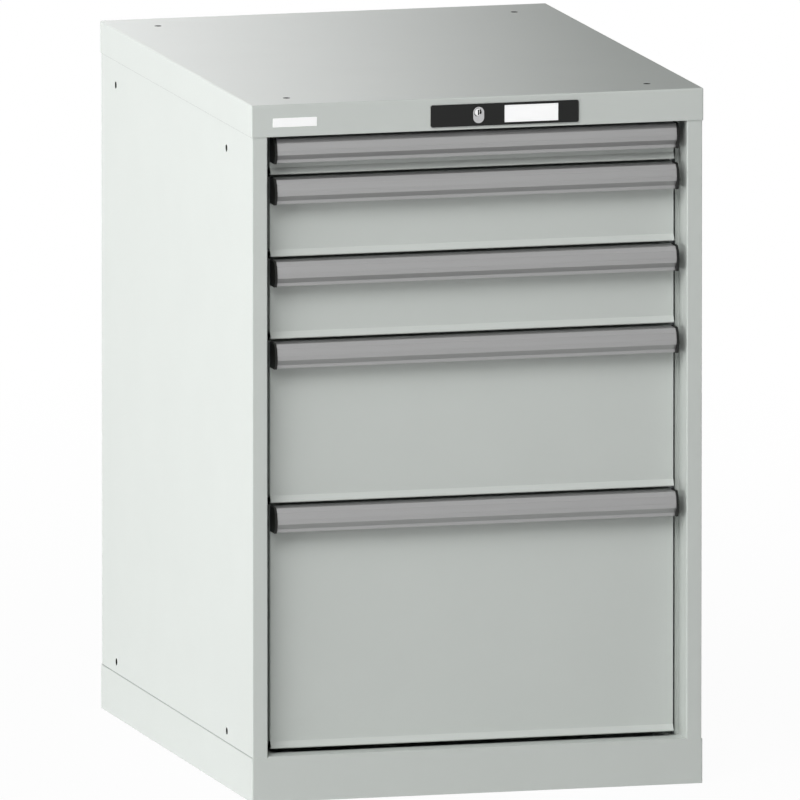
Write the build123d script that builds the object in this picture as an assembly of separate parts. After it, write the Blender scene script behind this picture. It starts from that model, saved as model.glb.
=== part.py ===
from build123d import *
import os

# Steel workshop cabinet with five drawers on telescopic roller runners and one central lock.
# Millimetres, +Z up, the front faces -Y, the origin is under the middle of the cabinet on the floor.
# A depth is measured backwards from the front face of the cover.

# Overall sizes
cabinet_width = 564.0
cabinet_depth = 725.0
cabinet_height = 850.0
front_units = (1, 2, 2, 4, 6)  # height of each drawer zone in equal units, from the top
cover_height = 39.0
plinth_height = 54.0
bottom_gap = 7.0  # from the plinth to the lowest drawer zone
over = 1.0  # how far a cut runs past the face it opens

# Housing sheets and folds
cover_sheet = 1.0
cover_fit = 0.2  # between the cover and the body below it
cover_bend = 1.8
housing_sheet = 1.2
housing_bend = 1.5
plinth_sheet = 1.5
plinth_bend = 2.5
plinth_front_flange = 25.3
plinth_side_flange = 31.0
plinth_foot_flange = 22.0
post_face = 19.0
post_return_depth = 33.1
post_return_inset = 1.1
post_flange = 4.9
rear_flange = 20.0
floor_sheet = 1.5
floor_drop = 14.0
floor_side_flange = 5.2
floor_fit = 0.5
wall_bolt_hole = 9.0
side_hole_front = 123.5  # from the front of the cover
side_hole_rear = 71.5  # from the rear of the cover
side_hole_rise = 14.1  # above the plinth
side_hole_drop = 30.4  # below the top drawer zone
top_hole_front = 51.0
top_hole_rear = 62.0
top_hole_side = 57.0

# Slotted uprights
upright_sheet = 1.5
upright_bend = 2.5
upright_width = 40.0
upright_reach = 23.1  # from the side wall to the web
front_upright_gap = 4.9  # behind the drawer fronts
rear_upright_gap = 11.4  # from the rear upright to the back panel
upright_top_gap = 2.0
slots_per_unit = 2
slot_width = 5.0
slot_height = 14.0

# Runners, from the upright inwards: cabinet rail, carriage with rollers, drawer rail
rail_sheet = 1.5
rail_bend = 2.2
rail_bottom = 2.4  # above the bottom of the drawer zone
channel_height = 26.6
drawer_rail_width = 10.5
carriage_plate_gap = 1.5
carriage_plate = 2.5
cabinet_rail_width = 10.0
carriage_height = 20.0
carriage_corner = 6.0
roller_clearance = 0.3
roller_side_clearance = 0.3
roller_chamfer = 0.8
axle_diameter = 8.0
drawer_rail_gap = 5.1  # behind the drawer fronts
cabinet_rail_gap = 4.6  # behind the front face of the front upright
cabinet_rail_overhang = 5.0  # behind the hook in the rear upright
carriage_gap = 3.4  # behind the front end of the drawer rail
carriage_length = 546.0
inner_roller_places = (16.0, 196.0)  # from the front end of the carriage
outer_roller_places = (186.0, 16.0)  # from its rear end
hook_width = 4.0
hook_height = 8.0
hook_reach = 2.9  # behind the web of the upright
hook_nose = 5.0
hook_fit = 0.3

# Drawers
tray_inner_depth = 612.0
tray_sheet = 1.0
tray_bottom = 4.0  # above the bottom of the drawer zone
tray_top_gap = 8.0  # below the top of the drawer zone
tray_corner = 3.0
hem_height = 6.0
hem_fold = 1.1
front_sheet = 1.2
front_bend = 1.4
front_recess = 27.0
front_thickness = 18.5
front_side_gap = 4.0
front_top_gap = 4.0
lip_height = 8.6
lip_reach = 5.0
lip_return = 8.0
fixing_flange = 40.0  # turned in behind each end of a drawer front

# Handle extrusion, its end caps and label strip
handle_wall = 2.2
handle_crest = 2.2  # depth of the most forward line
handle_crest_drop = 14.3  # below the top of the handle
handle_shoulder = 8.7  # depth at which the flat top ends
handle_face_top = 4.2
handle_face_top_drop = 5.1
handle_edge_radius = 0.8
handle_brow = 3.0
handle_brow_drop = 19.3
handle_grip = 9.5
handle_grip_drop = 25.8
handle_height = 29.6
handle_back_height = 18.5
label_pocket = 0.8
label_margin = 0.7
label_fit = 0.1
cap_thickness = 2.9
cap_side_gap = 3.6  # between a cap and the post
cap_front = 0.4
cap_front_drop = 18.0
cap_shoulder = 8.0
cap_shoulder_front = 2.9
cap_shoulder_drop = 5.5
cap_rise = 1.1
cap_bottom_front = 4.8
cap_bottom_drop = 30.2
cap_chin_drop = 23.5
cap_corner = 1.6

# Lock plate, card and cylinder
plate_left = -59.1
plate_width = 184.5
plate_height = 26.8
plate_rise = 17.4  # middle of the plate above the top drawer zone
plate_thickness = 1.6
plate_corner = 2.5
card_left = 32.8
card_width = 67.1
card_height = 21.0
card_thickness = 0.5
card_pocket = 0.7
card_fit = 0.1
cylinder_width = 13.6
cylinder_height = 19.8
cylinder_proud = 2.0
cylinder_collar = 1.2
cylinder_fit = 0.2
clip_width = 30.0
clip_height = 30.0
clip_thickness = 2.0
plug_diameter = 8.8
plug_clearance = 0.05
plug_sunk = 1.2
plug_countersink = 11.4
plug_overhang = 2.0
keyway_width = 1.8
keyway_height = 6.6
keyway_depth = 15.0

# Locking gear behind the cover
crossbar_sheet = 1.5
crossbar_flange = 6.0
crossbar_bend = 2.2
crossbar_rise = 1.0  # above the drawer zone
cam_diameter = 23.0
cam_thickness = 3.0
cam_gap = 2.6
crank_radius = 8.0
crank_pin = 5.0
crank_hole = 26.0
crank_half_turn = 45.0
crank_slot_clearance = 0.5
gear_sheet = 3.0
gear_gap = 0.4
slide_overhang = 16.0  # left of the lock
slide_rise = 3.0  # above the drawer zone
slide_height = 18.0
bar_inset = 3.9  # inside the web of the upright
bar_width = 13.4
bar_foot = 3.0  # above the bottom of the lowest drawer zone
bar_head = 25.0  # above the top drawer zone
bar_lift = 5.5
bar_pin_inset = 6.4  # from the inner edge of the bar
bar_pin_rise = 6.0  # above the bottom of the lock slide
lift_slot_clearance = 0.3
lock_hook_side_gap = 3.5  # from the tray
lock_hook_gap = 0.8
lock_hook_height = 4.0
catch_gap = 1.2
catch_height = 4.0
catch_reach = 10.0
catch_tab = 11.4
stud_shank = 6.0
stud_head = 12.0
stud_head_thickness = 1.5
stud_slot_clearance = 0.3
stud_end_play = 0.2
bar_stud_inset = 8.0  # from the inner edge of the bar
bar_stud_rise = 89.0  # above the lowest drawer zone
bar_stud_drop = 111.0  # below the top of the drawer zones
slide_stud_gap = 60.0  # from the lock and from the inner edge of the bar

# Heights that follow from the sizes above
zone_bottom = plinth_height + bottom_gap
zone_top = cabinet_height - cover_height
unit_height = (zone_top - zone_bottom) / sum(front_units)
slot_pitch = unit_height / slots_per_unit
under_cover = cabinet_height - cover_sheet
side_panel_top = cabinet_height - cover_bend
plate_middle = zone_top + plate_rise
plug_middle = plate_middle + (cylinder_height - cylinder_width) / 2
side_hole_heights = (plinth_height + side_hole_rise, zone_top - side_hole_drop)
slide_bottom = zone_top + slide_rise
bar_pin_z = slide_bottom + bar_pin_rise
bar_stud_heights = (zone_bottom + bar_stud_rise, zone_top - bar_stud_drop)

# Widths from the middle outwards
cover_inset = cover_sheet + cover_fit
body_half = cabinet_width / 2 - cover_inset
inner_half = body_half - housing_sheet
post_inner = body_half - post_face
return_inner = post_inner - post_return_inset
opening_half = return_inner - post_flange
front_half = opening_half - front_side_gap
cap_half = opening_half - cap_side_gap
handle_half = cap_half - cap_thickness
upright_web = inner_half - upright_reach
cabinet_rail_edge = upright_web - cabinet_rail_width
plate_outer = cabinet_rail_edge - carriage_plate_gap
plate_inner = plate_outer - carriage_plate
drawer_rail_edge = plate_inner - carriage_plate_gap
tray_half = drawer_rail_edge - drawer_rail_width
tray_inner_width = 2 * (tray_half - tray_sheet)
bar_left = upright_web - bar_inset
bar_right = bar_left + bar_width
bar_pin_x = bar_left + bar_pin_inset
bar_stud_x = bar_left + bar_stud_inset
slide_stud_places = (slide_stud_gap, bar_left - slide_stud_gap)
lock_hook_tip = tray_half + lock_hook_side_gap
top_hole_half = cabinet_width / 2 - top_hole_side

# Depths behind the front face of the cover
body_front = cover_inset
body_back = cabinet_depth - cover_inset
flange_depth = body_front + post_return_depth
front_back = front_recess + front_thickness
tray_front = front_back
tray_back = tray_front + tray_inner_depth + 2 * tray_sheet
back_panel_front = body_back - 2 * housing_sheet
front_upright_depth = front_back + front_upright_gap
rear_upright_depth = back_panel_front - rear_upright_gap - upright_width
front_hook = front_upright_depth + upright_width / 2
rear_hook = rear_upright_depth + upright_width / 2
cabinet_rail_start = front_upright_depth + cabinet_rail_gap
cabinet_rail_end = rear_hook + hook_width / 2 + cabinet_rail_overhang
drawer_rail_start = front_back + drawer_rail_gap
drawer_rail_end = tray_back + cabinet_rail_overhang
carriage_start = drawer_rail_start + carriage_gap
carriage_end = carriage_start + carriage_length
bar_depth = front_upright_depth - gear_gap - gear_sheet
slide_depth = bar_depth - gear_gap - gear_sheet
crossbar_depth = slide_depth - gear_gap - crossbar_sheet
cam_depth = crossbar_depth - cam_gap - cam_thickness
cylinder_rear = cam_depth - plug_overhang
side_hole_depths = (side_hole_front, cabinet_depth - side_hole_rear)
top_hole_depths = (top_hole_front, cabinet_depth - top_hole_rear)

# Heights above the bottom of a drawer zone
rail_height = channel_height + 2 * rail_sheet
rail_top = rail_bottom + rail_height
rail_middle = rail_bottom + rail_height / 2
roller_diameter = channel_height - 2 * roller_clearance
lock_hook_bottom = rail_top + lock_hook_gap
catch_bottom = lock_hook_bottom + lock_hook_height + catch_gap


def y_at(depth):
    """Y of a point that lies depth behind the front face of the cover."""
    return depth - cabinet_depth / 2


def zones():
    """Number, bottom and top of each drawer zone, from the top drawer down."""
    top = zone_top
    for number, units in enumerate(front_units, start=1):
        bottom = top - units * unit_height
        yield number, bottom, top
        top = bottom


def block(x, depth, z):
    """Plate with the given limits in X, in depth and in Z."""
    size = (x[1] - x[0], depth[1] - depth[0], z[1] - z[0])
    middle = ((x[0] + x[1]) / 2, y_at((depth[0] + depth[1]) / 2), (z[0] + z[1]) / 2)
    return Pos(*middle) * Box(*size)


def folded(corners, sheet, bend, side=Side.RIGHT):
    """Section of a folded sheet: corners run along one face, and the sheet lies to one side of them."""
    path = FilletPolyline(*corners, radius=bend)
    return make_face(path.wire().offset_2d(sheet, kind=Kind.ARC, side=side, closed=True).edges())


def along_x(section, x_from, x_to):
    """Carries a section in depth and height along X."""
    start = Plane(origin=(x_from, -cabinet_depth / 2, 0), x_dir=(0, 1, 0), z_dir=(1, 0, 0))
    return extrude(start * section, amount=x_to - x_from)


def along_depth(section, depth_from, depth_to):
    """Carries a section in X and height backwards."""
    end = Plane(origin=(0, y_at(depth_to), 0), x_dir=(1, 0, 0), z_dir=(0, -1, 0))
    return extrude(end * section, amount=depth_to - depth_from)


def round_bar(diameter, x, z, depth_from, depth_to):
    """Round bar along the depth."""
    return along_depth(Pos(x, z) * Circle(diameter / 2), depth_from, depth_to)


def cross_bar(diameter, depth, z, x_from, x_to):
    """Round bar along X."""
    return along_x(Pos(depth, z) * Circle(diameter / 2), x_from, x_to)


def save(name, *solids):
    """Writes one node from its solids."""
    shape = solids[0] if len(solids) == 1 else Compound([piece.solid() for piece in solids])
    export_step(shape, f"parts/{name}.step")


def both_sides(right):
    """A right-hand piece and its mirror image on the left."""
    return right, mirror(right, about=Plane.YZ)


def side_panel():
    """Right side panel: flat wall with a rear flange, and in front a post with an inner return and flange."""
    corners = (
        (body_half - rear_flange, y_at(body_back)),
        (body_half, y_at(body_back)),
        (body_half, y_at(body_front)),
        (post_inner, y_at(body_front)),
        (return_inner, y_at(flange_depth)),
        (opening_half, y_at(flange_depth)),
    )
    wall = extrude(folded(corners, housing_sheet, housing_bend), amount=side_panel_top - plinth_height)
    holes = [
        cross_bar(wall_bolt_hole, depth, z, inner_half - over, body_half + over)
        for depth in side_hole_depths
        for z in side_hole_heights
    ]
    return Pos(0, 0, plinth_height) * wall - holes


def back_panel():
    """Plain sheet inside the rear flanges of the side panels."""
    half = inner_half - floor_fit
    depth = (back_panel_front, back_panel_front + housing_sheet)
    return block((-half, half), depth, (plinth_height, under_cover))


def lock_outline(inset):
    """Upright oval of the lock, centred on the plate, smaller all round by an inset."""
    oval = SlotOverall(cylinder_height - 2 * inset, cylinder_width - 2 * inset, rotation=90)
    return Pos(0, plate_middle) * oval


def top_cover():
    """Cap over the whole housing, folded down on four sides, with bolt holes in the top."""
    cap = Pos(0, 0, cabinet_height - cover_height / 2) * Box(cabinet_width, cabinet_depth, cover_height)
    rounded = cap.edges().filter_by(Axis.Z) + cap.edges().group_by(Axis.Z)[-1]
    cap = fillet(rounded, cover_bend)
    shell = offset(cap, amount=-cover_sheet, openings=cap.faces().sort_by(Axis.Z)[0])
    bolts = [
        Pos(x, y_at(depth), under_cover) * Cylinder(wall_bolt_hole / 2, 4 * cover_sheet)
        for x in (-top_hole_half, top_hole_half)
        for depth in top_hole_depths
    ]
    lock_hole = along_depth(lock_outline(cylinder_collar - cylinder_fit), -over, cover_sheet + over)
    return shell - bolts - lock_hole


def plinth():
    """Closed base ring with flanges turned in at the top and at the floor."""
    ring = extrude(RectangleRounded(cabinet_width, cabinet_depth, plinth_bend), amount=plinth_height)
    hollow = extrude(
        RectangleRounded(
            cabinet_width - 2 * plinth_sheet,
            cabinet_depth - 2 * plinth_sheet,
            plinth_bend - plinth_sheet,
        ),
        amount=plinth_height - 2 * plinth_sheet,
    )
    foot = Pos(0, 0, plinth_sheet) * Box(
        cabinet_width - 2 * plinth_foot_flange,
        cabinet_depth - 2 * plinth_foot_flange,
        4 * plinth_sheet,
    )
    half = cabinet_width / 2 - plinth_side_flange
    top = block(
        (-half, half),
        (plinth_front_flange, cabinet_depth - plinth_side_flange),
        (plinth_height - 2 * plinth_sheet, plinth_height + over),
    )
    return ring - Pos(0, 0, plinth_sheet) * hollow - foot - top


def floor_pan():
    """Sunk floor with a flange on the plinth, whose front edge is the sill under the drawers."""
    half = cabinet_width / 2 - plinth_side_flange - floor_fit
    front = plinth_front_flange + floor_fit
    back = cabinet_depth - plinth_side_flange - floor_fit
    top = plinth_height + floor_sheet
    rim_half = half + floor_side_flange
    rim_front = flange_depth + housing_sheet + floor_fit
    right_edge = (
        (post_inner - floor_fit, floor_fit),
        (post_inner - floor_fit, body_front),
        (return_inner - floor_fit, flange_depth - floor_fit),
        (opening_half - floor_fit, flange_depth - floor_fit),
        (opening_half - floor_fit, rim_front),
        (rim_half, rim_front),
        (rim_half, back + floor_side_flange),
    )
    outline = [(x, y_at(depth)) for x, depth in right_edge]
    outline += [(-x, y) for x, y in reversed(outline)]
    rim = Pos(0, 0, plinth_height) * extrude(make_face(Polyline(*outline, close=True)), amount=floor_sheet)
    tub = block((-half, half), (front, back), (top - floor_drop, top))
    inside = block(
        (-half + floor_sheet, half - floor_sheet),
        (front + floor_sheet, back - floor_sheet),
        (top - floor_drop + floor_sheet, top + over),
    )
    return rim + tub - inside


def upright(depth):
    """Right upright: a channel open to the side wall, with a ladder of hook slots in its web."""
    corners = (
        (inner_half, y_at(depth)),
        (upright_web, y_at(depth)),
        (upright_web, y_at(depth + upright_width)),
        (inner_half, y_at(depth + upright_width)),
    )
    height = zone_top + upright_top_gap - plinth_height
    channel = Pos(0, 0, plinth_height) * extrude(folded(corners, upright_sheet, upright_bend), amount=height)
    middle = depth + upright_width / 2
    count = sum(front_units) * slots_per_unit
    bottom = zone_bottom + rail_middle - hook_height / 2
    slots = [
        block(
            (upright_web - over, upright_web + upright_sheet + over),
            (middle - slot_width / 2, middle + slot_width / 2),
            (bottom + step * slot_pitch, bottom + step * slot_pitch + slot_height),
        )
        for step in range(count)
    ]
    return channel - slots


def cabinet_rail(bottom):
    """Right cabinet rail: a channel open inwards, with a hook for each upright."""
    low = bottom + rail_bottom
    high = bottom + rail_top
    corners = ((cabinet_rail_edge, low), (upright_web, low), (upright_web, high), (cabinet_rail_edge, high))
    section = folded(corners, rail_sheet, rail_bend, Side.LEFT)
    rail = along_depth(section, cabinet_rail_start, cabinet_rail_end)
    middle = bottom + rail_middle
    nose = upright_web + upright_sheet + hook_fit
    tip = upright_web + upright_sheet + hook_reach
    hook = make_face(
        Polyline(
            (upright_web - rail_sheet / 2, middle + hook_height / 2),
            (tip, middle + hook_height / 2),
            (tip, middle - hook_height / 2 - hook_nose),
            (nose, middle - hook_height / 2 - hook_nose),
            (nose, middle - hook_height / 2),
            (upright_web - rail_sheet / 2, middle - hook_height / 2),
            close=True,
        )
    )
    for place in (front_hook, rear_hook):
        rail += along_depth(hook, place - hook_width / 2, place + hook_width / 2)
    return rail


def drawer_rail(bottom):
    """Right drawer rail: a channel open outwards on the side of the tray."""
    low = bottom + rail_bottom
    high = bottom + rail_top
    corners = ((drawer_rail_edge, low), (tray_half, low), (tray_half, high), (drawer_rail_edge, high))
    return along_depth(folded(corners, rail_sheet, rail_bend), drawer_rail_start, drawer_rail_end)


def lock_catch(bottom):
    """Tab on the right drawer rail, bent outwards in front, which the locking bar holds."""
    tab = block(
        (tray_half, tray_half + rail_sheet),
        (drawer_rail_start, drawer_rail_start + catch_tab),
        (bottom + rail_top - 2 * rail_bend, bottom + catch_bottom + catch_height),
    )
    plate = block(
        (tray_half, tray_half + rail_sheet + catch_reach),
        (drawer_rail_start, drawer_rail_start + rail_sheet),
        (bottom + catch_bottom, bottom + catch_bottom + catch_height),
    )
    return tab + plate


def carriage(bottom):
    """Right carriage: a flat bar with axle stubs inwards in its front half and outwards in its rear half."""
    middle = bottom + rail_middle
    bar = block(
        (plate_inner, plate_outer),
        (carriage_start, carriage_end),
        (middle - carriage_height / 2, middle + carriage_height / 2),
    )
    bar = fillet(bar.edges().filter_by(Axis.X), carriage_corner)
    inner_end = tray_half + rail_sheet + roller_side_clearance
    outer_end = upright_web - rail_sheet - roller_side_clearance
    for place in inner_roller_places:
        bar += cross_bar(axle_diameter, carriage_start + place, middle, inner_end, plate_inner)
    for place in outer_roller_places:
        bar += cross_bar(axle_diameter, carriage_end - place, middle, plate_outer, outer_end)
    return bar


def roller(depth, z, x_from, x_to):
    """Roller on an axle stub."""
    tyre = cross_bar(roller_diameter, depth, z, x_from, x_to)
    tyre = chamfer(tyre.edges(), roller_chamfer)
    return tyre - cross_bar(axle_diameter, depth, z, x_from - over, x_to + over)


def rollers(bottom):
    """The four rollers of the right carriage."""
    middle = bottom + rail_middle
    inner = (tray_half + rail_sheet + roller_side_clearance, plate_inner - roller_side_clearance)
    outer = (plate_outer + roller_side_clearance, upright_web - rail_sheet - roller_side_clearance)
    made = [roller(carriage_start + place, middle, *inner) for place in inner_roller_places]
    made += [roller(carriage_end - place, middle, *outer) for place in outer_roller_places]
    return made


def tray(bottom, top):
    """Open steel tray with a hem folded in along its rim."""
    low = bottom + tray_bottom
    high = top - tray_top_gap
    middle = Pos(0, y_at(tray_front + tray_sheet + tray_inner_depth / 2), 0)
    width = tray_inner_width
    depth = tray_inner_depth
    outer = RectangleRounded(width + 2 * tray_sheet, depth + 2 * tray_sheet, tray_corner)
    inner = RectangleRounded(width, depth, tray_corner - tray_sheet)
    hem = Rectangle(width - 2 * hem_fold, depth - 2 * hem_fold)
    wall_height = high - low - tray_sheet
    shell = extrude(outer, amount=high - low)
    shell -= Pos(0, 0, tray_sheet) * extrude(inner, amount=wall_height - hem_height)
    shell -= Pos(0, 0, high - low - hem_height) * extrude(hem, amount=hem_height)
    return middle * Pos(0, 0, low) * shell


def drawer_front(bottom, top):
    """Folded front with a lip flared forwards at the bottom and a fixing flange at each end."""
    high = top - front_top_gap
    corners = (
        (front_back, high),
        (front_recess, high),
        (front_recess, bottom + lip_height),
        (front_recess - lip_reach, bottom),
        (front_recess - lip_reach + lip_return, bottom),
    )
    skin = along_x(folded(corners, front_sheet, front_bend, Side.LEFT), -front_half, front_half)
    end = make_face(
        Polyline(
            (front_recess + front_sheet / 2, high - front_sheet / 2),
            (front_back, high - front_sheet / 2),
            (front_back, bottom + lip_height),
            (front_recess + front_sheet / 2, bottom + lip_height),
            close=True,
        )
    )
    right_end = along_x(end, front_half - front_sheet, front_half)
    right_end += block(
        (front_half - fixing_flange, front_half),
        (front_back - front_sheet, front_back),
        (bottom + lip_height, high - front_sheet / 2),
    )
    for piece in both_sides(right_end):
        skin += piece
    return skin


def parallel(points, distance):
    """Line that runs beside a line of points at a distance on its left, with mitred corners."""
    line = [Vector(*point) for point in points]
    ways = [(end - start).normalized() for start, end in zip(line, line[1:])]
    sides = [Vector(-way.Y, way.X) for way in ways]
    corners = [line[0] + sides[0] * distance]
    for point, before, after in zip(line[1:], sides, sides[1:]):
        corners.append(point + (before + after) * (distance / (1 + before.dot(after))))
    corners.append(line[-1] + sides[-1] * distance)
    return [(corner.X, corner.Y) for corner in corners]


def handle_line(top):
    """Outer line of the handle section from the front panel over the crest to the grip edge."""
    high = top - front_top_gap
    return (
        (front_recess, high),
        (handle_shoulder, high),
        (handle_face_top, high - handle_face_top_drop),
        (handle_crest, high - handle_crest_drop),
        (handle_brow, high - handle_brow_drop),
        (handle_grip, high - handle_grip_drop),
        (handle_grip, high - handle_height),
    )


def handle(top):
    """Aluminium pull: a web on the front panel, a flat top, a slope, a label face and an undercut grip."""
    outer = handle_line(top)
    inner = parallel(outer, handle_wall)
    section = make_face(Polyline(*outer, *reversed(inner), close=True))
    for corner in outer[1:6]:
        section = fillet(section.vertices().sort_by_distance((*corner, 0))[0], handle_edge_radius)
    high = top - front_top_gap
    web = make_face(
        Polyline(
            (front_recess, high),
            (front_recess - handle_wall, high),
            (front_recess - handle_wall, high - handle_back_height),
            (front_recess, high - handle_back_height),
            close=True,
        )
    )
    pull = along_x(section, -handle_half, handle_half) + along_x(web, -handle_half, handle_half)
    return pull - along_x(label_section(top, label_pocket, 0), -handle_half - over, handle_half + over)


def label_section(top, thickness, shrink):
    """Section of the label strip or its pocket in the face of the handle."""
    high = top - front_top_gap
    upper = Vector(handle_face_top, high - handle_face_top_drop)
    lower = Vector(handle_crest, high - handle_crest_drop)
    down = (lower - upper).normalized()
    inward = Vector(-down.Y, down.X)
    start = upper + down * (label_margin + shrink)
    end = lower - down * (label_margin + shrink)
    inner = inward * label_pocket
    outer = inward * (label_pocket - thickness)
    points = [(p.X, p.Y) for p in (start + outer, end + outer, end + inner, start + inner)]
    return make_face(Polyline(*points, close=True))


def label_strip(top):
    """Label strip in the face of the handle."""
    return along_x(label_section(top, label_pocket - label_fit, label_fit), -handle_half, handle_half)


def handle_cap(top):
    """Right end cap of the handle, standing a little proud of the extrusion."""
    high = top - front_top_gap
    corners = (
        (front_recess, high - cap_bottom_drop),
        (cap_bottom_front, high - cap_bottom_drop),
        (cap_front + (cap_bottom_front - cap_front) / 4, high - cap_chin_drop),
        (cap_front, high - cap_front_drop),
        (cap_shoulder_front, high - cap_shoulder_drop),
        (cap_shoulder, high + cap_rise),
        (front_recess, high + cap_rise),
    )
    outline = make_face(FilletPolyline(*corners, radius=cap_corner) + Line(corners[-1], corners[0]))
    return along_x(outline, handle_half, cap_half)


def lock_plate():
    """Plate on the front of the cover with the oval of the lock and a pocket for a card."""
    outline = RectangleRounded(plate_width, plate_height, plate_corner)
    plate = along_depth(Pos(plate_left + plate_width / 2, plate_middle) * outline, -plate_thickness, 0)
    pocket = Pos(card_left + card_width / 2, plate_middle) * Rectangle(card_width, card_height)
    plate -= along_depth(pocket, -plate_thickness - over, card_pocket - plate_thickness)
    hole = lock_outline(cylinder_collar - cylinder_fit)
    return plate - along_depth(hole, -plate_thickness - over, over)


def lock_card():
    """Plain card in the pocket of the lock plate."""
    size = (card_width - 2 * card_fit, card_height - 2 * card_fit)
    card = Pos(card_left + card_width / 2, plate_middle) * Rectangle(*size)
    back = card_pocket - plate_thickness
    return along_depth(card, back - card_thickness, back)


def lock_cylinder():
    """Oval lock body through plate and cover, with a collar and a countersunk bore for the plug."""
    front = -plate_thickness - cylinder_proud
    body = along_depth(lock_outline(cylinder_collar), -plate_thickness, cylinder_rear)
    body += along_depth(lock_outline(0), front, -plate_thickness)
    bore_diameter = plug_diameter + 2 * plug_clearance
    bore = round_bar(bore_diameter, 0, plug_middle, front - over, cylinder_rear + over)
    from_wide_end = (Align.CENTER, Align.CENTER, Align.MIN)
    cone = Cone(plug_countersink / 2, bore_diameter / 2, plug_sunk, align=from_wide_end)
    return body - bore - Pos(0, y_at(front), plug_middle) * Rot(-90, 0, 0) * cone


def lock_clip():
    """Plate behind the cover that holds the lock body."""
    plate = Pos(0, plate_middle) * RectangleRounded(clip_width, clip_height, plate_corner)
    clip = along_depth(plate, cover_sheet, cover_sheet + clip_thickness)
    return clip - along_depth(lock_outline(cylinder_collar), 0, cover_sheet + clip_thickness + over)


def lock_plug():
    """Round plug with a keyway, turning in the lock body and sunk to the foot of its countersink."""
    front = -plate_thickness - cylinder_proud + plug_sunk
    plug = round_bar(plug_diameter, 0, plug_middle, front, cylinder_rear + plug_overhang)
    keyway = Pos(0, plug_middle) * Rectangle(keyway_width, keyway_height)
    return plug - along_depth(keyway, front - over, front + keyway_depth)


def crank_place(turn):
    """X and Z of the crank pin at a turn from its lowest point."""
    arm = Vector(0, -crank_radius).rotate(Axis.Z, turn)
    return arm.X, plug_middle + arm.Y


def lock_cam():
    """Disc on the end of the plug with a crank pin that reaches into the lock slide."""
    disc = round_bar(cam_diameter, 0, plug_middle, cam_depth, cam_depth + cam_thickness)
    x, z = crank_place(-crank_half_turn)
    return disc + round_bar(crank_pin, x, z, cam_depth, slide_depth + gear_sheet)


def front_crossbar():
    """Channel across the cabinet under the cover, which carries the lock slide."""
    low = zone_top + crossbar_rise
    front = crossbar_depth - crossbar_flange
    rear = crossbar_depth + crossbar_sheet
    corners = ((front, under_cover), (rear, under_cover), (rear, low), (front, low))
    bar = along_x(folded(corners, crossbar_sheet, crossbar_bend), -inner_half, inner_half)
    return bar - round_bar(crank_hole, 0, plug_middle, crossbar_depth - over, rear + over)


def slide_travel():
    """How far the crank pushes the lock slide."""
    return crank_place(crank_half_turn)[0] - crank_place(-crank_half_turn)[0]


def sloped_slot(start, end, width):
    """Slot for a pin that travels in a straight line from start to end."""
    way = Vector(*end) - Vector(*start)
    middle = Vector(*start) + way / 2
    angle = Vector(1, 0).get_signed_angle(way, Vector(0, 0, 1))
    return Pos(middle.X, middle.Y) * SlotCenterToCenter(way.length, width, rotation=angle)


def lock_slide():
    """Flat bar with an upright slot for the crank pin and a slanted slot that lifts the locking bar."""
    sheet = (slide_depth, slide_depth + gear_sheet)
    bar = block((-slide_overhang, bar_right), sheet, (slide_bottom, slide_bottom + slide_height))
    x, high = crank_place(-crank_half_turn)
    low = crank_place(0)[1]
    travel = slide_travel()
    pin_slot = crank_pin + 2 * crank_slot_clearance
    lift_slot = crank_pin + 2 * lift_slot_clearance
    stud_slot = stud_shank + 2 * stud_slot_clearance
    middle = slide_bottom + slide_height / 2
    slots = [
        sloped_slot((x, low - crank_slot_clearance), (x, high + crank_slot_clearance), pin_slot),
        sloped_slot((bar_pin_x, bar_pin_z), (bar_pin_x - travel, bar_pin_z + bar_lift), lift_slot),
    ]
    for place in slide_stud_places:
        slots.append(sloped_slot((place, middle), (place - travel, middle), stud_slot))
    return bar - [along_depth(slot, sheet[0] - over, sheet[1] + over) for slot in slots]


def locking_bar():
    """Upright flat bar with a hook for each drawer and a pin in the slanted slot of the lock slide."""
    sheet = (bar_depth, bar_depth + gear_sheet)
    bar = block((bar_left, bar_right), sheet, (zone_bottom + bar_foot, zone_top + bar_head))
    for number, bottom, top in zones():
        hook = (bottom + lock_hook_bottom, bottom + lock_hook_bottom + lock_hook_height)
        bar += block((lock_hook_tip, bar_left), sheet, hook)
    stud_slot = stud_shank + 2 * stud_slot_clearance
    slots = [sloped_slot((bar_stud_x, z - bar_lift), (bar_stud_x, z), stud_slot) for z in bar_stud_heights]
    bar -= [along_depth(slot, sheet[0] - over, sheet[1] + over) for slot in slots]
    return bar + round_bar(crank_pin, bar_pin_x, bar_pin_z, slide_depth, bar_depth)


def guide_studs():
    """Headed studs: two on the right front upright for the locking bar, two on the crossbar for the slide."""
    shank = gear_gap + gear_sheet + stud_end_play
    face = front_upright_depth
    made = []
    for z in bar_stud_heights:
        stud = round_bar(stud_shank, bar_stud_x, z, face - shank, face)
        head = round_bar(stud_head, bar_stud_x, z, face - shank - stud_head_thickness, face - shank)
        made.append(stud + head)
    face = crossbar_depth + crossbar_sheet
    middle = slide_bottom + slide_height / 2
    for x in slide_stud_places:
        stud = round_bar(stud_shank, x, middle, face, face + shank)
        head = round_bar(stud_head, x, middle, face + shank, face + shank + stud_head_thickness)
        made.append(stud + head)
    return made


os.makedirs("parts", exist_ok=True)

# Housing
right_panel, left_panel = both_sides(side_panel())
save("right_side_panel", right_panel)
save("left_side_panel", left_panel)
save("back_panel", back_panel())
save("top_cover", top_cover())
save("plinth", plinth())
save("floor_pan", floor_pan())
save("front_crossbar", front_crossbar())
save("front_uprights", *both_sides(upright(front_upright_depth)))
save("rear_uprights", *both_sides(upright(rear_upright_depth)))
right_rails = [cabinet_rail(bottom) for number, bottom, top in zones()]
save("right_cabinet_rails", *right_rails)
save("left_cabinet_rails", *[mirror(rail, about=Plane.YZ) for rail in right_rails])

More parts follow.
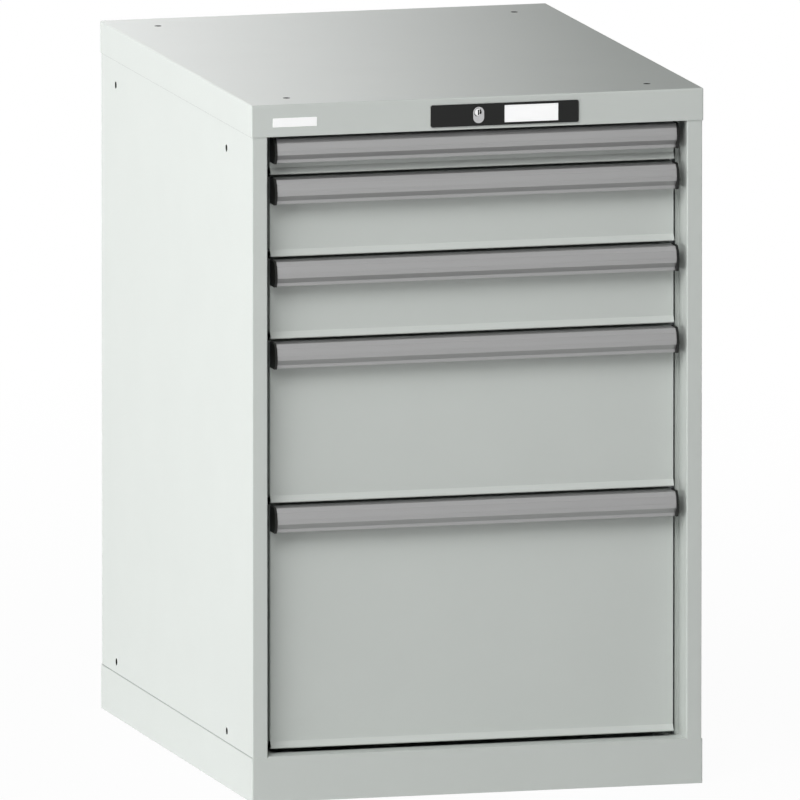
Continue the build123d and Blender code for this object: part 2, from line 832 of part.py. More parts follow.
# Lock and locking gear
save("lock_plate", lock_plate())
save("lock_card", lock_card())
save("lock_cylinder", lock_cylinder())
save("lock_clip", lock_clip())
save("lock_plug", lock_plug())
save("lock_cam", lock_cam())
save("lock_slide", lock_slide())
save("locking_bar", locking_bar())
save("guide_studs", *guide_studs())

# Drawers, each with its runners
for number, bottom, top in zones():
    name = f"drawer_{number}"
    right_rail, left_rail = both_sides(drawer_rail(bottom))
    right_rollers = rollers(bottom)
    save(f"{name}_tray", tray(bottom, top))
    save(f"{name}_front", drawer_front(bottom, top))
    save(f"{name}_handle", handle(top))
    save(f"{name}_handle_caps", *both_sides(handle_cap(top)))
    save(f"{name}_label_strip", label_strip(top))
    save(f"{name}_rails", right_rail + lock_catch(bottom), left_rail)
    save(f"{name}_carriages", *both_sides(carriage(bottom)))
    save(f"{name}_rollers", *right_rollers, *[mirror(tyre, about=Plane.YZ) for tyre in right_rollers])
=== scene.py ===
from math import cos, radians, sin

import bpy
import numpy as np
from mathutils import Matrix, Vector


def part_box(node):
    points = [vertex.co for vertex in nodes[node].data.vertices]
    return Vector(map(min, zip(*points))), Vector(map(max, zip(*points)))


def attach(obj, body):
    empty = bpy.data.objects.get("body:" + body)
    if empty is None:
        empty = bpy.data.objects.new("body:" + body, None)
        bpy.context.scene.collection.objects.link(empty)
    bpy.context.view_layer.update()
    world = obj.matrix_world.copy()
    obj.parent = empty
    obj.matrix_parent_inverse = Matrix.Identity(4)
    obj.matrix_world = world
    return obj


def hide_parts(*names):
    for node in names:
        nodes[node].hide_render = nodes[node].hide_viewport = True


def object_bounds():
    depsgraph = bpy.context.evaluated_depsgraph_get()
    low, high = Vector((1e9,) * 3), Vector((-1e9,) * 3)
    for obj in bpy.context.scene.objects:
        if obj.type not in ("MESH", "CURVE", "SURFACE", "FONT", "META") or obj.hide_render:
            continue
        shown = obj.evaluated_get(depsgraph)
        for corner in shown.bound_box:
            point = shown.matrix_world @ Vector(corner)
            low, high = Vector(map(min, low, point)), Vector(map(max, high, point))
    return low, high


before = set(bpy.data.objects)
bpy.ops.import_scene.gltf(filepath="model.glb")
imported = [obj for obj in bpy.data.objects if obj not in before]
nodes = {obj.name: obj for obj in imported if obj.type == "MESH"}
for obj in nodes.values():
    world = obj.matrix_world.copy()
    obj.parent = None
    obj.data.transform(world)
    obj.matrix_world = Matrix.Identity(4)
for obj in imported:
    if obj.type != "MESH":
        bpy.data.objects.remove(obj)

cad_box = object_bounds()
mm = 0.001
drawers = range(1, 6)

# The photograph is taken from far away with a long lens, left of the front and a little above it
camera_azimuth = -15.0
camera_elevation = 9.0
camera_lens = 1700.0
camera_sensor = 36.0
view_width = 0.9719

# World light: strength at the horizon, and the upward share of a direction above which it is dark
horizon_light = 0.44
dark_above = 0.6

# Soft boxes: place, point they face, width and height in metres, and power in watts
soft_boxes = {
    "left_box": ((-4.0, -0.4, 0.8), (0, 0, 0.8), (5.0, 1.5), 117),
    "front_box": ((-4.4, -6.2, 7.6), (0, 0, 0.45), (5.8, 6.4), 758),
    "right_box": ((4.0, 0.8, 0.41), (0, 0, 0.41), (5.0, 0.8), 85),
    "rear_box": ((0.6, 4.2, 0.41), (0, 0, 0.41), (5.0, 0.8), 85),
}

# Floor: half its side, and the share of white near the cabinet, which grows to 1 between two distances
floor_half = 8.0
floor_veil = 0.965
floor_fade = (0.5, 3.0)

# Screen behind the cabinet: its ends, its place in depth and its height, and where its glow fades
backdrop_ends = (-0.3, 4.0)
backdrop_back = 1.6
backdrop_height = 3.2
backdrop_edges = (-0.05, 0.72)
backdrop_levels = (2.85, 0.0)

# Dark board at the right of the front: its place across, its ends in depth, and its height
flag_side = 0.95
flag_ends = (-1.75, -0.42)
flag_height = 1.7

# Points inside each round corner of a path
corner_turns = 4

# Drawer trays: sheet, hem and the slots for dividers
tray_sheet = 1.0 * mm
tray_corner = 3.0 * mm
hem_height = 6.0 * mm
hem_profile = ((0, -6), (0, -0.7), (0.3, -0.2), (1.05, 0), (1.8, -0.2), (2.1, -0.7), (2.1, -6))
slot_pitch = 17 * mm
slot_width = 3.2 * mm
slot_margin = 12 * mm
slot_row = 34 * mm
slot_bridge = 9 * mm

# Bare badge on the cover: middle and size across and up, and its edge as steps inwards and forwards
badge_middle = (-0.228, 0.828)
badge_size = (0.055, 0.011)
badge_corner = 1.0 * mm
badge_edge = ((0, 0), (0, 0.3), (0.1, 0.42), (0.3, 0.5))

# Rivet and screw heads, with their profile as shares of radius and height
head_profile = ((1, 0), (1, 0.3), (0.88, 0.72), (0.6, 0.95), (0.36, 1), (0.28, 0.55))
head_sides = 20
rivet_radius = 3.4 * mm
rivet_height = 0.9 * mm
rivet_inset = 10 * mm
rivet_end = 60 * mm
rivets_a_side = 6
screw_radius = 4.6 * mm
screw_height = 2.2 * mm
screw_drop = 15 * mm
screws_a_front = 4

# Black cups in the bolt holes of the sides and the cover, painted shade that stands in for the dark inside
# of the holes: places of the holes, and the cups' sizes
side_holes_middle = (0.026, 0.42435)
side_holes_spacing = (0.530, 0.7125)
top_holes_middle = (0.0, -0.0055)
top_holes_spacing = (0.450, 0.612)
cup_radius = 4.45 * mm
cup_wall = 0.08 * mm
side_cup_depths = (0.35 * mm, 2.5 * mm)
top_cup_depths = (0.05 * mm, 2.0 * mm)

# Painted shade along the joints of the sides against the plinth and the cover: a low grey bead, as shares
# of thickness and height
bead_profile = ((0, 0), (1, 0.1), (1, 0.9), (0, 1))
bead_thickness = 0.25 * mm
plinth_bead = 0.8 * mm
cover_bead = 0.9 * mm

# Polished dome on the lock plug, open over the keyway
plug_dome_height = 1.1 * mm
plug_dome_clear = 0.05 * mm
keyway_half = (0.9 * mm, 3.3 * mm)
dome_sides = 96
dome_rows = 8
least_share = 1e-6  # keeps a division by a direction's share finite


def linear(code):
    """Linear RGBA of an sRGB hex colour, by the sRGB transfer curve."""
    srgb = np.array([int(code[i:i + 2], 16) for i in (1, 3, 5)]) / 255
    rgb = np.where(srgb <= 0.04045, srgb / 12.92, ((srgb + 0.055) / 1.055) ** 2.4)
    return (*rgb.tolist(), 1.0)


def per_metre(size_mm):
    """Texture scale whose features are about size_mm wide on Object coordinates in metres."""
    return 1 / (size_mm * mm)


def set_inputs(tree, target, inputs):
    """Gives each named input of a node a value, or a link from another node's output."""
    for name, value in inputs.items():
        if isinstance(value, bpy.types.NodeSocket):
            tree.links.new(value, target.inputs[name])
        else:
            target.inputs[name].default_value = value


def node(tree, kind, inputs=None, **settings):
    """Adds a node with its settings and its inputs."""
    made = tree.nodes.new(kind)
    for name, value in settings.items():
        setattr(made, name, value)
    set_inputs(tree, made, inputs or {})
    return made


def empty_material(name):
    """Material with an empty node tree."""
    material = bpy.data.materials.new(name)
    material.use_nodes = True
    material.node_tree.nodes.clear()
    return material, material.node_tree


def new_material(name):
    """Node material with its Principled shader linked to the output, and Object coordinates."""
    material, tree = empty_material(name)
    shader = node(tree, "ShaderNodeBsdfPrincipled")
    node(tree, "ShaderNodeOutputMaterial", {"Surface": shader.outputs["BSDF"]})
    place = node(tree, "ShaderNodeTexCoord").outputs["Object"]
    return material, tree, shader, place


def noise(tree, place, size_mm, detail):
    """Noise pattern with features of about size_mm."""
    return node(tree, "ShaderNodeTexNoise", {
        "Vector": place,
        "Scale": per_metre(size_mm),
        "Detail": detail,
    }).outputs["Fac"]


def two_tones(tree, factor, light, dark):
    """Mix of two hex colours by a factor. A colour mix takes them on sockets 6 and 7 and gives socket 2."""
    colours = {"Factor": factor, 6: linear(light), 7: linear(dark)}
    return node(tree, "ShaderNodeMix", colours, data_type="RGBA").outputs[2]


def spread(tree, factor, low, high):
    """A factor from 0 to 1 spread from low to high."""
    return node(tree, "ShaderNodeMapRange", {
        "Value": factor,
        "To Min": low,
        "To Max": high,
    }).outputs["Result"]


def relief(tree, height, strength, depth):
    """Normal of a bump."""
    return node(tree, "ShaderNodeBump", {
        "Height": height,
        "Strength": strength,
        "Distance": depth,
    }).outputs["Normal"]


def powder_coat(name, light, dark):
    """Polyester powder coat, sprayed and baked: an even pale film with orange peel and a satin sheen."""
    material, tree, shader, place = new_material(name)
    cloud = noise(tree, place, 90, 3.0)
    # real orange peel is under 1 mm wide, drawn as 2.4 mm so that it shows
    peel = noise(tree, place, 2.4, 2.0)
    set_inputs(tree, shader, {
        "Base Color": two_tones(tree, cloud, light, dark),
        "Roughness": spread(tree, peel, 0.34, 0.44),
        "Normal": relief(tree, peel, 0.08, 0.2 * mm),
        "IOR": 1.5,
    })
    return material


def drawn_aluminium(name, light, dark, rough):
    """Anodised aluminium extrusion: fine die lines along its length and a satin, stretched highlight."""
    material, tree, shader, place = new_material(name)
    # die lines are about 0.1 mm wide, drawn as 0.9 mm so that they show
    lines = node(tree, "ShaderNodeMapping", {
        "Vector": place,
        "Scale": (per_metre(160), per_metre(0.9), per_metre(0.9)),
    })
    grain = node(tree, "ShaderNodeTexNoise", {
        "Vector": lines.outputs["Vector"],
        "Scale": 1.0,
        "Detail": 3.0,
    }).outputs["Fac"]
    set_inputs(tree, shader, {
        "Base Color": two_tones(tree, grain, light, dark),
        "Metallic": 0.5,
        "Roughness": spread(tree, grain, *rough),
        "Normal": relief(tree, grain, 0.05, 0.1 * mm),
    })
    return material


def galvanised_sheet(name):
    """Hot-dip galvanised steel: flat zinc crystals in two or three greys with a dull metallic sheen."""
    material, tree, shader, place = new_material(name)
    crystal = node(tree, "ShaderNodeTexVoronoi", {"Vector": place, "Scale": per_metre(9)})
    grey = node(tree, "ShaderNodeSeparateColor", {"Color": crystal.outputs["Color"]})
    set_inputs(tree, shader, {
        "Base Color": two_tones(tree, grey.outputs["Red"], "#C4C7C9", "#A9ADB0"),
        "Metallic": 1.0,
        "Roughness": spread(tree, grey.outputs["Green"], 0.34, 0.5),
    })
    return material


def black_moulding(name):
    """Black polyamide, injection moulded in a spark-eroded tool: a fine even grain with a dull shine."""
    material, tree, shader, place = new_material(name)
    # the grain is about 0.2 mm, drawn as 0.7 mm so that it shows
    grain = noise(tree, place, 0.7, 2.0)
    set_inputs(tree, shader, {
        "Base Color": two_tones(tree, grain, "#0B0C0B", "#151615"),
        "Roughness": spread(tree, grain, 0.4, 0.52),
        "Normal": relief(tree, grain, 0.15, 0.1 * mm),
        "IOR": 1.53,
        "Specular IOR Level": 0.3,
    })
    return material


def natural_nylon(name):
    """Natural polyamide, turned: milky off-white, slightly waxy."""
    material, tree, shader, place = new_material(name)
    cloud = noise(tree, place, 6, 2.0)
    set_inputs(tree, shader, {
        "Base Color": two_tones(tree, cloud, "#E4E0D2", "#D6D1C0"),
        "Roughness": 0.42,
        "IOR": 1.53,
    })
    return material


def plated_zinc(name, light, dark, rough):
    """Nickel and chrome plate on die-cast zinc: bright, with the faint waves of the casting under it."""
    material, tree, shader, place = new_material(name)
    wave = noise(tree, place, 3, 1.0)
    set_inputs(tree, shader, {
        "Base Color": two_tones(tree, wave, light, dark),
        "Metallic": 1.0,
        "Roughness": spread(tree, wave, *rough),
    })
    return material


def painted_joint_shade(name):
    """Matt grey painted shade for a joint, darker than the paint beside it, with a faint random variation
    of tone.
    """
    material, tree, shader, place = new_material(name)
    mark = noise(tree, place, 15, 2.0)
    set_inputs(tree, shader, {
        # two greys darker than the paint, painting the shade in a joint
        "Base Color": two_tones(tree, mark, "#9FA3A1", "#939795"),
        "Roughness": spread(tree, mark, 0.55, 0.7),
    })
    return material


def white_card(name):
    """Bright white card: matt, with short fibres that hardly show, and a painted glow that shows it
    brighter than the lamps make it.
    """
    material, tree, shader, place = new_material(name)
    fibre = noise(tree, place, 1.2, 4.0)
    # painted glow: the card gives off a little light of its own so that it shows brighter than the lamps
    # make it
    set_inputs(tree, shader, {
        "Base Color": two_tones(tree, fibre, "#FFFFFF", "#FAFBFB"),
        "Roughness": 0.8,
        "Emission Color": linear("#FFFFFF"),
        "Emission Strength": 0.16,
    })
    return material


def white_film(name):
    """White self-adhesive vinyl film: a soft gloss, with the faint orange peel of the paint under it, and a
    faint painted glow.
    """
    material, tree, shader, place = new_material(name)
    peel = noise(tree, place, 2.4, 2.0)
    # painted glow: the film gives off a little light of its own so that it shows brighter than the lamps
    # make it
    set_inputs(tree, shader, {
        "Base Color": two_tones(tree, peel, "#FFFFFF", "#F6F7F7"),
        "Roughness": spread(tree, peel, 0.3, 0.4),
        "IOR": 1.54,
        "Emission Color": linear("#FFFFFF"),
        "Emission Strength": 0.1,
    })
    return material


def dress(material, *names):
    """Gives CAD nodes a material."""
    for name in names:
        mesh = nodes[name].data
        mesh.materials.clear()
        mesh.materials.append(material)


paint = powder_coat("light_grey_powder_coat", "#CDD2CE", "#C9CECA")
aluminium = drawn_aluminium("anodised_aluminium", "#ABABAB", "#A5A5A5", (0.28, 0.4))
zinc = galvanised_sheet("galvanised_sheet")
black = black_moulding("black_polyamide")
nylon = natural_nylon("natural_polyamide")
chrome = plated_zinc("chrome_plate", "#BFBFC0", "#B7B7B8", (0.1, 0.2))
polish = plated_zinc("polished_chrome", "#F4F4F4", "#ECECEC", (0.04, 0.08))
# grey for the painted shade along the joints of the sides
joint_shade_grey = painted_joint_shade("painted_joint_shade")
card = white_card("white_card")
badge_film = white_film("white_film")

dress(paint, "right_side_panel", "left_side_panel", "back_panel", "top_cover", "plinth", "floor_pan")
dress(zinc, "front_crossbar", "front_uprights", "rear_uprights")
dress(zinc, "right_cabinet_rails", "left_cabinet_rails")
dress(zinc, "lock_clip", "guide_studs", "lock_cam", "lock_slide", "locking_bar")
dress(black, "lock_plate")
dress(card, "lock_card")
dress(chrome, "lock_cylinder", "lock_plug")
for number in drawers:
    drawer = f"drawer_{number}"
    dress(paint, f"{drawer}_front")
    dress(aluminium, f"{drawer}_handle", f"{drawer}_label_strip")
    dress(black, f"{drawer}_handle_caps")
    dress(zinc, f"{drawer}_rails", f"{drawer}_carriages")
    dress(nylon, f"{drawer}_rollers")


def ring_faces(columns, rows, wrap=False, keep=None):
    """Quads between neighbouring points of a closed row of columns, whose points run from first to last.

    With wrap the last row joins the first, and keep marks the quads that stay.
    """
    first = np.arange(columns)[:, None] * rows
    second = (np.arange(columns)[:, None] + 1) % columns * rows
    low = np.arange(rows if wrap else rows - 1)[None, :]
    high = (low + 1) % rows
    quads = np.stack([first + low, second + low, second + high, first + high], axis=-1)
    return quads.reshape(-1, 4) if keep is None else quads[keep]


def rounded_path(low, high, radius, stops):
    """Anticlockwise way round a rectangle with round corners.

    Each side is a straight run with points at the given stops, and each corner a quarter circle.
    Gives the points and their outward normals.
    """
    width, height = high[0] - low[0], high[1] - low[1]
    ways = np.array([(1, 0), (0, 1), (-1, 0), (0, -1)])
    starts = np.array([low, (high[0], low[1]), high, (low[0], high[1])])
    places, normals = [], []
    for way, start, along in zip(ways, starts, (stops[0], stops[1], stops[0], stops[1])):
        outward = np.array([way[1], -way[0]])
        run = start + way * (radius + along[:, None])
        angles = np.linspace(0, np.pi / 2, corner_turns + 2)[1:-1, None]
        bend = outward * np.cos(angles) + way * np.sin(angles)
        length = width if way[0] else height
        centre = start + way * (length - radius) - outward * radius
        places += [run, centre + radius * bend]
        normals += [np.repeat(outward[None, :], len(run), axis=0), bend]
    return np.concatenate(places), np.concatenate(normals)


def new_piece(name, points, faces, material, body):
    """Mesh object of points and faces, dressed and riding on a body."""
    mesh = bpy.data.meshes.new(name)
    mesh.from_pydata(points.reshape(-1, 3).tolist(), [], faces)
    mesh.materials.append(material)
    piece = bpy.data.objects.new(name, mesh)
    bpy.context.scene.collection.objects.link(piece)
    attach(piece, body)
    return piece


def slot_edges(length, pitch, width, plain):
    """Starts and ends of slots spread evenly over a length, with a plain stretch at both ends."""
    count = max(1, int((length - 2 * plain + pitch - width) // pitch))
    middles = length / 2 + (np.arange(count) - (count - 1) / 2) * pitch
    return (middles[:, None] + np.array([-width / 2, width / 2])).ravel()


def slotted_tray(number):
    """Sheet tray of a drawer: a wall round a rectangle, as high as its grid, whose slot cells stay open.

    The lowest row of the wall is the edge of the floor. The hem is a rounded profile on the same way round.
    """
    low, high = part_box(f"drawer_{number}_tray")
    run_x = high.x - low.x - 2 * tray_corner
    run_y = high.y - low.y - 2 * tray_corner
    cuts = [slot_edges(run, slot_pitch, slot_width, slot_margin) for run in (run_x, run_y)]
    stops = [np.concatenate([[0], cut, [run]]) for cut, run in zip(cuts, (run_x, run_y))]
    places, normals = rounded_path((low.x, low.y), (high.x, high.y), tray_corner, stops)
    side_cells = [np.arange(len(stop) + corner_turns) % 2 == 1 for stop in stops]
    for cells, stop in zip(side_cells, stops):
        cells[len(stop) - 1:] = False
    slot_column = np.concatenate([side_cells[0], side_cells[1], side_cells[0], side_cells[1]])
    wall_height = high.z - low.z - hem_height
    rows = max(1, round((wall_height - slot_bridge) / slot_row))
    row_pitch = (wall_height - slot_bridge) / rows
    levels = slot_edges(wall_height, row_pitch, row_pitch - slot_bridge, slot_bridge)
    levels = np.concatenate([[0], levels, [wall_height]])
    slot_level = np.arange(len(levels) - 1) % 2 == 1
    wall = np.zeros((len(places), len(levels), 3))
    wall[:, :, :2] = places[:, None, :]
    wall[:, :, 2] = low.z + levels
    faces = ring_faces(len(places), len(levels), keep=~(slot_column[:, None] & slot_level)).tolist()
    faces.append((np.arange(len(places))[::-1] * len(levels)).tolist())
    body = f"drawer_{number}"
    tray = new_piece(f"{body}_slotted_tray", wall, faces, paint, body)
    sheet = tray.modifiers.new("sheet", "SOLIDIFY")
    sheet.thickness = tray_sheet
    sheet.offset = -1.0
    sheet.use_even_offset = True
    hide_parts(f"drawer_{number}_tray")
    inwards, up = np.array(hem_profile).T * mm
    hem = np.zeros((len(places), len(up), 3))
    hem[:, :, :2] = places[:, None, :] - normals[:, None, :] * inwards[:, None]
    hem[:, :, 2] = high.z + up
    faces = ring_faces(len(places), len(up), wrap=True).tolist()
    new_piece(f"{body}_tray_hem", hem, faces, paint, body)


def badge_plate():
    """Bare badge on the cover: a rounded rectangle whose edge steps inwards and forwards to a flat face."""
    low = np.array(badge_middle) - np.array(badge_size) / 2
    stops = [np.array([0, side - 2 * badge_corner]) for side in badge_size]
    places, normals = rounded_path(low, low + badge_size, badge_corner, stops)
    inset, forward = np.array(badge_edge).T * mm
    plate = np.zeros((len(places), len(inset), 3))
    plate[:, :, 0::2] = places[:, None, :] - normals[:, None, :] * inset[:, None]
    plate[:, :, 1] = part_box("top_cover")[0].y - forward
    faces = ring_faces(len(places), len(inset)).tolist()
    faces.append((np.arange(len(places)) * len(inset) + len(inset) - 1).tolist())
    new_piece("bare_badge", plate, faces, badge_film, "housing")


def turned_pieces(name, profile, centres, outward, across, material, body, slot):
    """Equal round pieces on flat walls: a profile of radius and height, turned round an axis at each place.

    The axis points outward. The last point of the profile is closed by a flat disc.
    """
    out, up = np.array(profile).T
    angles = np.linspace(0, 2 * np.pi, head_sides, endpoint=False)[:, None]
    outward = np.broadcast_to(np.array(outward, float), (len(centres), 3))[:, None, None, :]
    third = np.cross(outward, across)
    head = (out * np.cos(angles))[:, :, None] * np.array(across)
    head = head + (out * np.sin(angles))[:, :, None] * third
    head = head + up[:, None] * outward
    points = np.array(centres)[:, None, None, :] + head
    step = head_sides * len(up)
    starts = np.arange(len(centres)) * step
    faces = (starts[:, None, None] + ring_faces(head_sides, len(up))).reshape(-1, 4).tolist()
    discs = starts[:, None] + np.arange(head_sides) * len(up) + len(up) - 1
    new_piece(name, points, faces + discs.tolist(), material, body)


def back_rivets():
    """Two rows of blind rivets that hold the rear flanges of the sides on the back panel."""
    low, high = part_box("left_side_panel")[0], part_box("right_side_panel")[1]
    levels = np.linspace(low.z + rivet_end, high.z - rivet_end, rivets_a_side)
    sides = np.array([low.x + rivet_inset, high.x - rivet_inset])
    centres = np.stack(np.broadcast_arrays(sides[:, None], high.y, levels), axis=-1).reshape(-1, 3)
    profile = np.array(head_profile) * (rivet_radius, rivet_height)
    turned_pieces("back_rivets", profile, centres, (0, 1, 0), (1, 0, 0), paint, "housing", "housing_paint")


def front_screws(number):
    """Row of screws inside a tray that hold its front and handle."""
    low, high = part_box(f"drawer_{number}_tray")
    across = np.linspace(low.x, high.x, screws_a_front + 2)[1:-1]
    level = high.z - screw_drop
    inside = low.y + tray_sheet
    centres = np.stack(np.broadcast_arrays(across, inside, level), axis=-1)
    body = f"drawer_{number}"
    name = f"{body}_front_screws"
    profile = np.array(head_profile) * (screw_radius, screw_height)
    turned_pieces(name, profile, centres, (0, 1, 0), (1, 0, 0), zinc, body, "zinc_steel")


def hole_corners(middle, spacing):
    """The four corners of a pattern of bolt holes, as two arrays along its two ways."""
    along, up = np.meshgrid((-0.5, 0.5), (-0.5, 0.5))
    return middle[0] + spacing[0] * along.ravel(), middle[1] + spacing[1] * up.ravel()


def cup_profile(depths):
    """Profile of a black cup with its rim and its floor at two depths: across the rim and down inside."""
    inner = cup_radius - cup_wall
    return ((cup_radius, -depths[0]), (inner, -depths[0]), (inner, -depths[1]))


def hole_shade_liners():
    """Black cups sunk in the bolt holes of both sides and of the cover: painted shade that stands in for
    the dark inside of the holes.
    """
    along, up = hole_corners(side_holes_middle, side_holes_spacing)
    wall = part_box("right_side_panel")[1].x
    sides = np.repeat((-1, 1), len(along))
    centres = np.stack([sides * wall, np.tile(along, 2), np.tile(up, 2)], axis=-1)
    outward = np.stack([sides, 0 * sides, 0 * sides], axis=-1)
    look = (black, "housing", "black_plastic")
    # painted shade: black liners sunk in the holes stand in for the darkness inside them
    turned_pieces("side_hole_shade", cup_profile(side_cup_depths), centres, outward, (0, 1, 0), *look)
    along, back = hole_corners(top_holes_middle, top_holes_spacing)
    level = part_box("top_cover")[1].z
    centres = np.stack(np.broadcast_arrays(along, back, level), axis=-1)
    turned_pieces("cover_hole_shade", cup_profile(top_cup_depths), centres, (0, 0, 1), (1, 0, 0), *look)


def side_shade_lines(name, foot, height):
    """Bead of grey painted shade along both sides: a low profile drawn straight from front edge to rear
    edge.
    """
    out, up = np.array(bead_profile).T
    low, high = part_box("left_side_panel")[0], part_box("right_side_panel")[1]
    across = np.array([low.x - bead_thickness * out, high.x + bead_thickness * out])[:, None, :]
    along = np.array([(high.y, low.y), (low.y, high.y)])[:, :, None]
    points = np.stack(np.broadcast_arrays(across, along, foot + height * up), axis=-1)
    # an open strip: its quads run from the first end to the second and not back
    one_way = np.repeat([[True], [False]], len(up) - 1, axis=1)
    quads = ring_faces(2, len(up), keep=one_way)
    faces = np.concatenate([quads, quads + 2 * len(up)]).tolist()
    new_piece(name, points, faces, joint_shade_grey, "housing")


def plug_dome():
    """Polished front of the lock plug: straight lines from rim to keyway, raised by the cap of a sphere."""
    low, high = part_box("lock_plug")
    rim = (high.x - low.x) / 2 - plug_dome_clear
    angles = np.linspace(0, 2 * np.pi, dome_sides, endpoint=False)[:, None]
    across, up = np.cos(angles), np.sin(angles)
    keyway = np.minimum(
        keyway_half[0] / np.maximum(abs(across), least_share),
        keyway_half[1] / np.maximum(abs(up), least_share),
    )
    distance = rim + (keyway - rim) * np.linspace(0, 1, dome_rows)
    ball = (rim**2 + plug_dome_height**2) / (2 * plug_dome_height)
    raised = np.sqrt(ball**2 - distance**2) - (ball - plug_dome_height)
    distance = np.concatenate([distance, keyway], axis=1)
    raised = np.concatenate([raised, 0 * keyway], axis=1)
    points = np.stack([
        (low.x + high.x) / 2 + distance * across,
        low.y - raised,
        (low.z + high.z) / 2 + distance * up,
    ], axis=-1)
    faces = ring_faces(dome_sides, dome_rows + 1).tolist()
    new_piece("lock_plug_dome", points, faces, polish, "lock_plug")


def area_light(name, place, aim, size, power):
    """Soft box at a place, turned towards a point, that lights the part but is not mirrored in it."""
    data = bpy.data.lights.new(name, "AREA")
    data.shape = "RECTANGLE"
    data.size, data.size_y = size
    data.energy = power
    lamp = bpy.data.objects.new(name, data)
    lamp.location = place
    lamp.visible_camera = False
    lamp.visible_glossy = False
    lamp.rotation_mode = "QUATERNION"
    lamp.rotation_quaternion = (Vector(aim) - Vector(place)).to_track_quat("-Z", "Y")
    bpy.context.scene.collection.objects.link(lamp)


def background_rays(tree):
    """1 for camera, glossy and transmission rays, which see the white studio, and 0 for light."""
    path = node(tree, "ShaderNodeLightPath").outputs
    seen = node(tree, "ShaderNodeMath", {
        0: path["Is Camera Ray"],
        1: path["Is Glossy Ray"],
    }, operation="MAXIMUM")
    seen_or_through = node(tree, "ShaderNodeMath", {
        0: seen.outputs[0],
        1: path["Is Transmission Ray"],
    }, operation="MAXIMUM")
    return seen_or_through.outputs[0]


def studio():
    """White studio: a world that is brighter at the horizon, and soft boxes in front, beside and behind."""
    world = bpy.data.worlds.new("studio")
    bpy.context.scene.world = world
    world.use_nodes = True
    tree = world.node_tree
    tree.nodes.clear()
    direction = node(tree, "ShaderNodeTexCoord").outputs["Generated"]
    way = node(tree, "ShaderNodeSeparateXYZ", {"Vector": direction})
    level = node(tree, "ShaderNodeMapRange", {
        "Value": way.outputs["Z"],
        "From Max": dark_above,
        "To Min": horizon_light,
        "To Max": 0.0,
    })
    plain = linear("#FFFFFF")
    fill = node(tree, "ShaderNodeBackground", {"Color": plain, "Strength": level.outputs["Result"]})
    white = node(tree, "ShaderNodeBackground", {"Color": plain, "Strength": 1.0})
    mix = node(tree, "ShaderNodeMixShader", {
        0: background_rays(tree),
        1: fill.outputs[0],
        2: white.outputs[0],
    })
    node(tree, "ShaderNodeOutputWorld", {"Surface": mix.outputs[0]})
    for name, settings in soft_boxes.items():
        area_light(name, *settings)


def flat_sheet(name, corners, material):
    """Flat sheet of the stage through four corners, in order."""
    mesh = bpy.data.meshes.new(name)
    mesh.from_pydata(corners, [], [(0, 1, 2, 3)])
    mesh.materials.append(material)
    sheet = bpy.data.objects.new(name, mesh)
    bpy.context.scene.collection.objects.link(sheet)
    return sheet


def mirrored_only(sheet):
    """Lets a sheet be seen only in reflections."""
    sheet.visible_camera = False
    sheet.visible_diffuse = False
    sheet.visible_shadow = False


def backdrop():
    """Upright screen behind the cabinet, bright on the left and dark on the right, only in reflections."""
    material, tree = empty_material("backdrop_glow")
    place = node(tree, "ShaderNodeTexCoord").outputs["Object"]
    across = node(tree, "ShaderNodeSeparateXYZ", {"Vector": place})
    level = node(tree, "ShaderNodeMapRange", {
        "Value": across.outputs["X"],
        "From Min": backdrop_edges[0],
        "From Max": backdrop_edges[1],
        "To Min": backdrop_levels[0],
        "To Max": backdrop_levels[1],
    })
    glow = node(tree, "ShaderNodeEmission", {
        "Color": linear("#FFFFFF"),
        "Strength": level.outputs["Result"],
    })
    node(tree, "ShaderNodeOutputMaterial", {"Surface": glow.outputs[0]})
    left, right = backdrop_ends
    corners = [
        (left, backdrop_back, 0),
        (right, backdrop_back, 0),
        (right, backdrop_back, backdrop_height),
        (left, backdrop_back, backdrop_height),
    ]
    mirrored_only(flat_sheet("backdrop", corners, material))


def flag():
    """Black studio board at the right of the front, only in reflections."""
    material, tree = empty_material("black_cloth")
    cloth = node(tree, "ShaderNodeBsdfDiffuse", {"Color": linear("#050505")})
    node(tree, "ShaderNodeOutputMaterial", {"Surface": cloth.outputs[0]})
    front, back = flag_ends
    corners = [
        (flag_side, front, 0),
        (flag_side, back, 0),
        (flag_side, back, flag_height),
        (flag_side, front, flag_height),
    ]
    mirrored_only(flat_sheet("flag", corners, material))


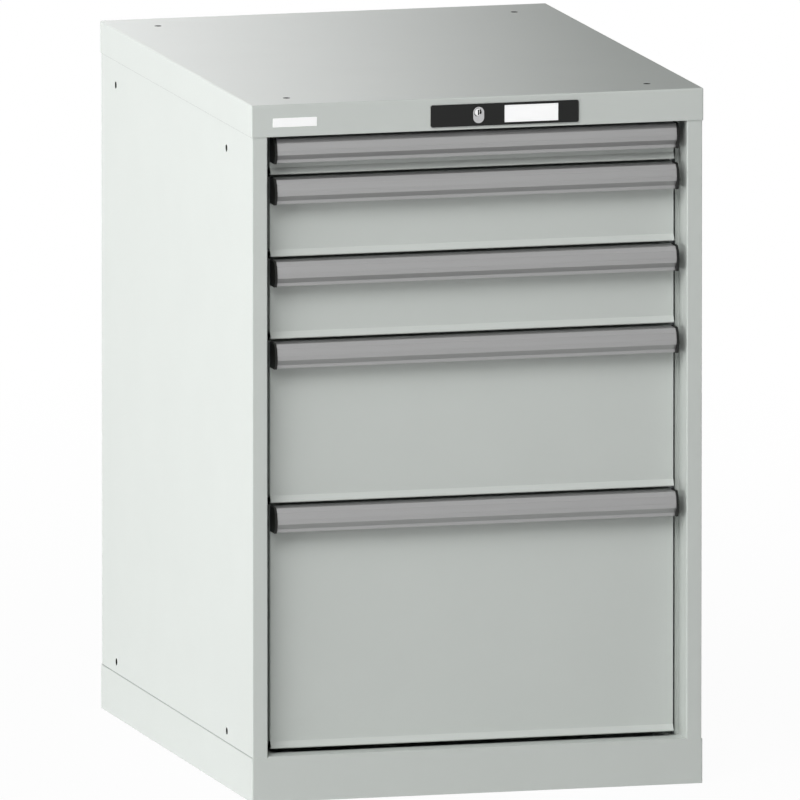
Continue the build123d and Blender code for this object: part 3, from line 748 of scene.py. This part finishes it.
def floor():
    """Floor under the cabinet: z = 0 over a wide square, white, with the cabinet's faint shadow near it."""
    material, tree = empty_material("pale_floor")
    matt = node(tree, "ShaderNodeBsdfDiffuse", {"Color": linear("#C8C8C8")})
    glow = node(tree, "ShaderNodeEmission", {"Color": linear("#FFFFFF"), "Strength": 1.0})
    place = node(tree, "ShaderNodeTexCoord").outputs["Object"]
    away = node(tree, "ShaderNodeVectorMath", {0: place}, operation="LENGTH")
    white = node(tree, "ShaderNodeMapRange", {
        "Value": away.outputs["Value"],
        "From Min": floor_fade[0],
        "From Max": floor_fade[1],
        "To Min": floor_veil,
    })
    veil = node(tree, "ShaderNodeMath", {
        0: background_rays(tree),
        1: white.outputs["Result"],
    }, operation="MULTIPLY")
    mix = node(tree, "ShaderNodeMixShader", {
        0: veil.outputs[0],
        1: matt.outputs[0],
        2: glow.outputs[0],
    })
    node(tree, "ShaderNodeOutputMaterial", {"Surface": mix.outputs[0]})
    half = floor_half
    flat_sheet("floor", [(-half, -half, 0), (half, -half, 0), (half, half, 0), (-half, half, 0)], material)


def camera():
    """Long lens aimed at the middle of the cabinet."""
    data = bpy.data.cameras.new("camera")
    data.lens = camera_lens
    data.sensor_width = camera_sensor
    far = view_width * camera_lens / camera_sensor
    data.clip_start = 1.0
    data.clip_end = 2 * far
    turn, rise = radians(camera_azimuth), radians(camera_elevation)
    back = Vector((sin(turn) * cos(rise), -cos(turn) * cos(rise), sin(rise)))
    eye = bpy.data.objects.new("camera", data)
    middle = Vector((0, 0, (cad_box[0].z + cad_box[1].z) / 2))
    eye.location = middle + back * far
    eye.rotation_mode = "QUATERNION"
    eye.rotation_quaternion = (-back).to_track_quat("-Z", "Y")
    bpy.context.scene.collection.objects.link(eye)
    bpy.context.scene.camera = eye


for number in drawers:
    slotted_tray(number)
    front_screws(number)
badge_plate()
back_rivets()
hole_shade_liners()
# painted shade: dark grey lines along the joints of the sides with the plinth and the cover
side_shade_lines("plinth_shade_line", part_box("left_side_panel")[0].z, plinth_bead)
side_shade_lines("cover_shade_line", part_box("top_cover")[0].z - cover_bead, cover_bead)
plug_dome()
studio()
backdrop()
flag()
floor()
camera()
bpy.context.scene.view_settings.view_transform = "Standard"
